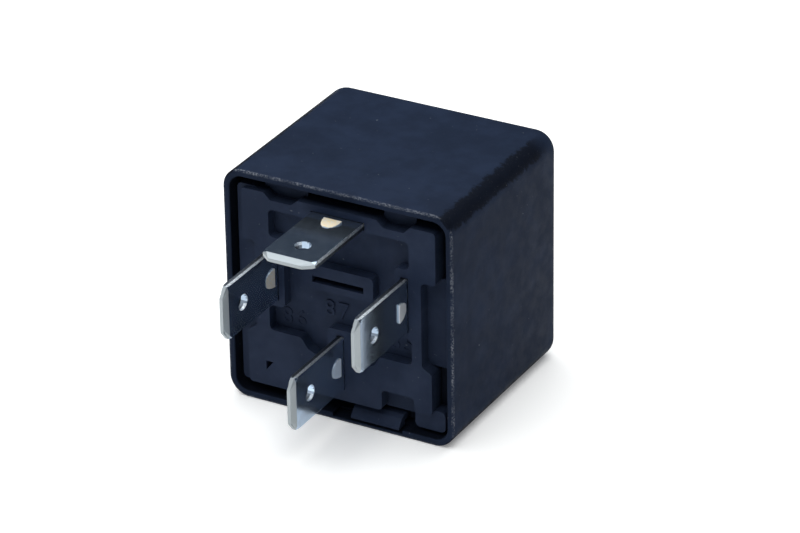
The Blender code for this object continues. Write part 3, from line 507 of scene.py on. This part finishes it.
def weld_corners(piece):
    weld = piece.modifiers.new("weld", "WELD")
    weld.merge_threshold = 0.002 * MM


def soften(piece, width):
    """Join a CAD mesh's split corners and round its edges a little, with modifiers only."""
    weld_corners(piece)
    bevel = piece.modifiers.new("bevel", "BEVEL")
    bevel.width = width
    bevel.segments = 2
    bevel.limit_method = "ANGLE"
    bevel.angle_limit = math.radians(28)
    bevel.harden_normals = True


def apply_modifiers(piece):
    """Keep the shape that a piece's modifiers give, and drop the modifiers."""
    bpy.context.view_layer.update()
    evaluated = piece.evaluated_get(bpy.context.evaluated_depsgraph_get())
    mesh = bpy.data.meshes.new_from_object(evaluated)
    piece.modifiers.clear()
    piece.data = mesh


# ---------------------------------------------------------------- cover

WALL = 0.8 * MM
SIDE_RADIUS = 2.4 * MM
END_RADIUS = 1.6 * MM
INNER_END_RADIUS = 0.6 * MM
RIM_ROUND = 0.25 * MM
RIM_LIP = 0.08 * MM
SMALLEST_CORNER = 0.7 * MM
CORNER_STEPS = 14
END_STEPS = 10
RIM_STEPS = 4
LATCH_NOTCH_LOW = Vector((-1.0 * MM, RIM_Y - 0.4 * MM, 0.4 * MM))
LATCH_NOTCH_HIGH = Vector((7.7 * MM, RIM_Y + 1.8 * MM, WALL + 0.4 * MM))


def rounded_rectangle(inset, y, radius):
    """A ring round the cover at depth y, moved in from its outer faces."""
    half_x = (COVER_HIGH.x - COVER_LOW.x) / 2 - inset
    middle = (COVER_HIGH.z + COVER_LOW.z) / 2
    half_z = (COVER_HIGH.z - COVER_LOW.z) / 2 - inset
    ring = []
    for quarter, (sign_x, sign_z) in enumerate(((1, 1), (-1, 1), (-1, -1), (1, -1))):
        for step in range(CORNER_STEPS + 1):
            angle = math.pi / 2 * (quarter + step / CORNER_STEPS)
            x = sign_x * (half_x - radius) + radius * math.cos(angle)
            z = middle + sign_z * (half_z - radius) + radius * math.sin(angle)
            ring.append(Vector((x, y, z)))
    return ring


def cover_rings():
    back = COVER_HIGH.y
    rings = []
    for step in range(END_STEPS + 1):
        angle = math.pi / 2 * step / END_STEPS
        inset = END_RADIUS * (1 - math.sin(angle))
        y = back - END_RADIUS * (1 - math.cos(angle))
        rings.append(rounded_rectangle(inset, y, max(SIDE_RADIUS - inset, SMALLEST_CORNER)))
    for step in range(RIM_STEPS + 1):
        angle = math.pi / 2 * step / RIM_STEPS
        inset = RIM_ROUND * (1 - math.cos(angle))
        y = RIM_Y + RIM_ROUND * (1 - math.sin(angle))
        rings.append(rounded_rectangle(inset, y, SIDE_RADIUS - inset))
    inner_radius = SIDE_RADIUS - WALL
    rings.append(rounded_rectangle(WALL - RIM_LIP, RIM_Y, inner_radius))
    rings.append(rounded_rectangle(WALL, RIM_Y + RIM_LIP, inner_radius))
    inner_end = back - WALL
    rings.append(rounded_rectangle(WALL, inner_end - INNER_END_RADIUS, inner_radius))
    rings.append(rounded_rectangle(WALL + INNER_END_RADIUS, inner_end, inner_radius - INNER_END_RADIUS))
    return rings


def latch_notch_cutter():
    low, high = LATCH_NOTCH_LOW, LATCH_NOTCH_HIGH
    mesh = bpy.data.meshes.new("latch_notch")
    bm = bmesh.new()
    bmesh.ops.create_cube(bm, size=1.0)
    for vertex in bm.verts:
        vertex.co = Vector(low[i] + (vertex.co[i] + 0.5) * (high[i] - low[i]) for i in range(3))
    bm.to_mesh(mesh)
    bm.free()
    cutter = bpy.data.objects.new("latch_notch", mesh)
    scene.collection.objects.link(cutter)
    return cutter


def make_cover():
    mesh = mesh_from_rings("cover_shell", cover_rings())
    cover = add_piece("cover_shell", mesh, "cover_plastic", "cover", "cover")
    cutter = latch_notch_cutter()
    boolean = cover.modifiers.new("notch", "BOOLEAN")
    boolean.operation = "DIFFERENCE"
    boolean.solver = "EXACT"
    boolean.object = cutter
    apply_modifiers(cover)
    bpy.data.objects.remove(cutter)
    smooth(cover, 30)


# ---------------------------------------------------------------- base and its numbers

# across, height and rise of each number, which all stand on the sunk floor
BASE_NUMBERS = {
    "87": (-1.05 * MM, 12.7 * MM, 0.12 * MM),
    "86": (-6.4 * MM, 10.5 * MM, 0.06 * MM),
    "85": (6.9 * MM, 10.6 * MM, 0.08 * MM),
}
NUMBER_SIZE = 2.7 * MM
NUMBER_EDGE = 0.03 * MM
SUNK_FLOOR_Y = RIM_Y + 1.6 * MM


def make_numbers():
    """The terminal numbers, moulded a little proud of the sunk floor between the blades."""
    for number, (x, z, rise) in BASE_NUMBERS.items():
        curve = bpy.data.curves.new(f"number_{number}", "FONT")
        curve.body = number
        curve.size = NUMBER_SIZE
        curve.align_x = "CENTER"
        curve.space_character = 1.25
        curve.align_y = "CENTER"
        curve.extrude = rise
        curve.bevel_depth = NUMBER_EDGE
        curve.bevel_resolution = 1
        text = bpy.data.objects.new(f"number_{number}_outline", curve)
        scene.collection.objects.link(text)
        text.rotation_euler = (math.pi / 2, 0.0, 0.0)
        text.location = (x, SUNK_FLOOR_Y, z)
        bpy.context.view_layer.update()
        evaluated = text.evaluated_get(bpy.context.evaluated_depsgraph_get())
        mesh = bpy.data.meshes.new_from_object(evaluated)
        mesh.transform(text.matrix_world)
        bpy.data.objects.remove(text)
        add_piece(f"number_{number}", mesh, "base_plastic", "base")


# ---------------------------------------------------------------- bobbin

FLANGE_SQUARENESS = 3.6
FLANGE_THICKNESS = 1.0 * MM
FLANGE_EDGE = 0.12 * MM
BARREL_RADIUS = 4.1 * MM
BORE_RADIUS = 3.32 * MM


def bobbin_ring(centre, reach, y, squareness, sides=144):
    """A ring round the bobbin's axis, from a circle at squareness 2 to a soft square above it."""
    ring = []
    for side in range(sides):
        angle = 2 * math.pi * side / sides
        cosine, sine = math.cos(angle), math.sin(angle)
        spread = (abs(cosine) ** squareness + abs(sine) ** squareness) ** (-1 / squareness)
        ring.append(Vector((centre.x + reach * spread * cosine, y, centre.z + reach * spread * sine)))
    return ring


def make_bobbin():
    low, high = (Vector(corner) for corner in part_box("bobbin"))
    centre = (low + high) / 2
    wide = (high.x - low.x) / 2
    rings = [bobbin_ring(centre, BORE_RADIUS, low.y, 2)]
    for near, far in ((low.y, low.y + FLANGE_THICKNESS), (high.y - FLANGE_THICKNESS, high.y)):
        if near > low.y:
            rings.append(bobbin_ring(centre, BARREL_RADIUS, near, 2))
        rings.append(bobbin_ring(centre, wide - FLANGE_EDGE, near, FLANGE_SQUARENESS))
        rings.append(bobbin_ring(centre, wide, near + FLANGE_EDGE, FLANGE_SQUARENESS))
        rings.append(bobbin_ring(centre, wide, far - FLANGE_EDGE, FLANGE_SQUARENESS))
        rings.append(bobbin_ring(centre, wide - FLANGE_EDGE, far, FLANGE_SQUARENESS))
        if near == low.y:
            rings.append(bobbin_ring(centre, BARREL_RADIUS, far, 2))
    rings.append(bobbin_ring(centre, BORE_RADIUS, high.y, 2))
    bobbin = add_piece("bobbin_spool", mesh_from_rings("bobbin_spool", rings, is_loop=True),
                       "bobbin_nylon", "base", "bobbin")
    smooth(bobbin)


# ---------------------------------------------------------------- coil winding

WIRE_PITCH = 0.34 * MM
WIRE_RELIEF = 0.10 * MM
WINDING_BORE = 4.16 * MM
WINDING_MARGIN = 0.04 * MM
WINDING_SWELL = 0.02 * MM
SWELL_PER_METRE = 900
WINDING_SIDES = 72
RINGS_PER_TURN = 6


def winding_ring(centre, y, radii):
    """A ring round the coil's axis at depth y, with one radius for each of its points."""
    ring = []
    for side, radius in enumerate(radii):
        angle = 2 * math.pi * side / WINDING_SIDES
        ring.append(Vector((centre.x + radius * math.cos(angle), y, centre.z + radius * math.sin(angle))))
    return ring


def make_winding():
    """The outer layer of the winding: a ring whose surface is a helix of touching wire."""
    low, high = (Vector(corner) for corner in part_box("coil_winding"))
    centre = (low + high) / 2
    outer = (high.x - low.x) / 2 - WINDING_MARGIN
    length = high.y - low.y
    count = int(length / WIRE_PITCH * RINGS_PER_TURN)
    rings = []
    for index in range(count + 1):
        y = low.y + length * index / count
        radii = []
        for side in range(WINDING_SIDES):
            angle = 2 * math.pi * side / WINDING_SIDES
            phase = (y - low.y) / WIRE_PITCH - side / WINDING_SIDES
            dip = 1.0 - abs(math.sin(math.pi * phase))
            swell = WINDING_SWELL * math.sin(3 * angle + SWELL_PER_METRE * y)
            radii.append(outer - WIRE_RELIEF * dip + swell)
        rings.append(winding_ring(centre, y, radii))
    for y in (high.y, low.y):
        rings.append(winding_ring(centre, y, [WINDING_BORE] * WINDING_SIDES))
    mesh = mesh_from_rings("winding_wire", rings, is_loop=True)
    winding = add_piece("winding_wire", mesh, "enamelled_wire", "base", "coil_winding")
    smooth(winding, 60)


# ---------------------------------------------------------------- spring leaf

def make_spring():
    """The spring's own copy of its shape, with its edges softened."""
    mesh = NODES["contact_spring"].data.copy()
    leaf = add_piece("spring_leaf", mesh, "spring_bronze", None, "contact_spring")
    soften(leaf, 0.04 * MM)
    apply_modifiers(leaf)
    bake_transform(leaf)


# ---------------------------------------------------------------- pieces carried over from the CAD

CARRIED = {
    "base_plate": ("base_plastic", 0.10),
    "terminal_30": ("tin_30", 0.03),
    "terminal_85": ("tin_85", 0.03),
    "terminal_86": ("tin_86", 0.03),
    "terminal_87": ("tin_87", 0.03),
    "rest_stop": ("plated_steel", 0.08),
    "yoke": ("plated_steel", 0.12),
    "core": ("plated_steel", 0.08),
    "armature": ("plated_steel", 0.10),
    "fixed_contact": ("contact_silver", 0.06),
    "moving_contact": ("contact_silver", 0.06),
    "terminal_rivet": ("rivet_steel", 0.08),
    "yoke_rivet_left": ("rivet_steel", 0.08),
    "yoke_rivet_right": ("rivet_steel", 0.08),
    "armature_rivet_left": ("rivet_steel", 0.08),
    "armature_rivet_right": ("rivet_steel", 0.08),
    "coil_lead_85": ("enamelled_wire", 0.0),
    "coil_lead_86": ("enamelled_wire", 0.0),
}


def dress_carried_nodes():
    for name, (look_name, width) in CARRIED.items():
        node = NODES[name]
        set_look(node, look_name)
        if width:
            soften(node, width * MM)
        else:
            weld_corners(node)
            node.modifiers.new("round", "SUBSURF").render_levels = 1


make_camera()
make_studio()
make_floor()
make_cover()
make_numbers()
make_bobbin()
make_winding()
make_spring()
dress_carried_nodes()
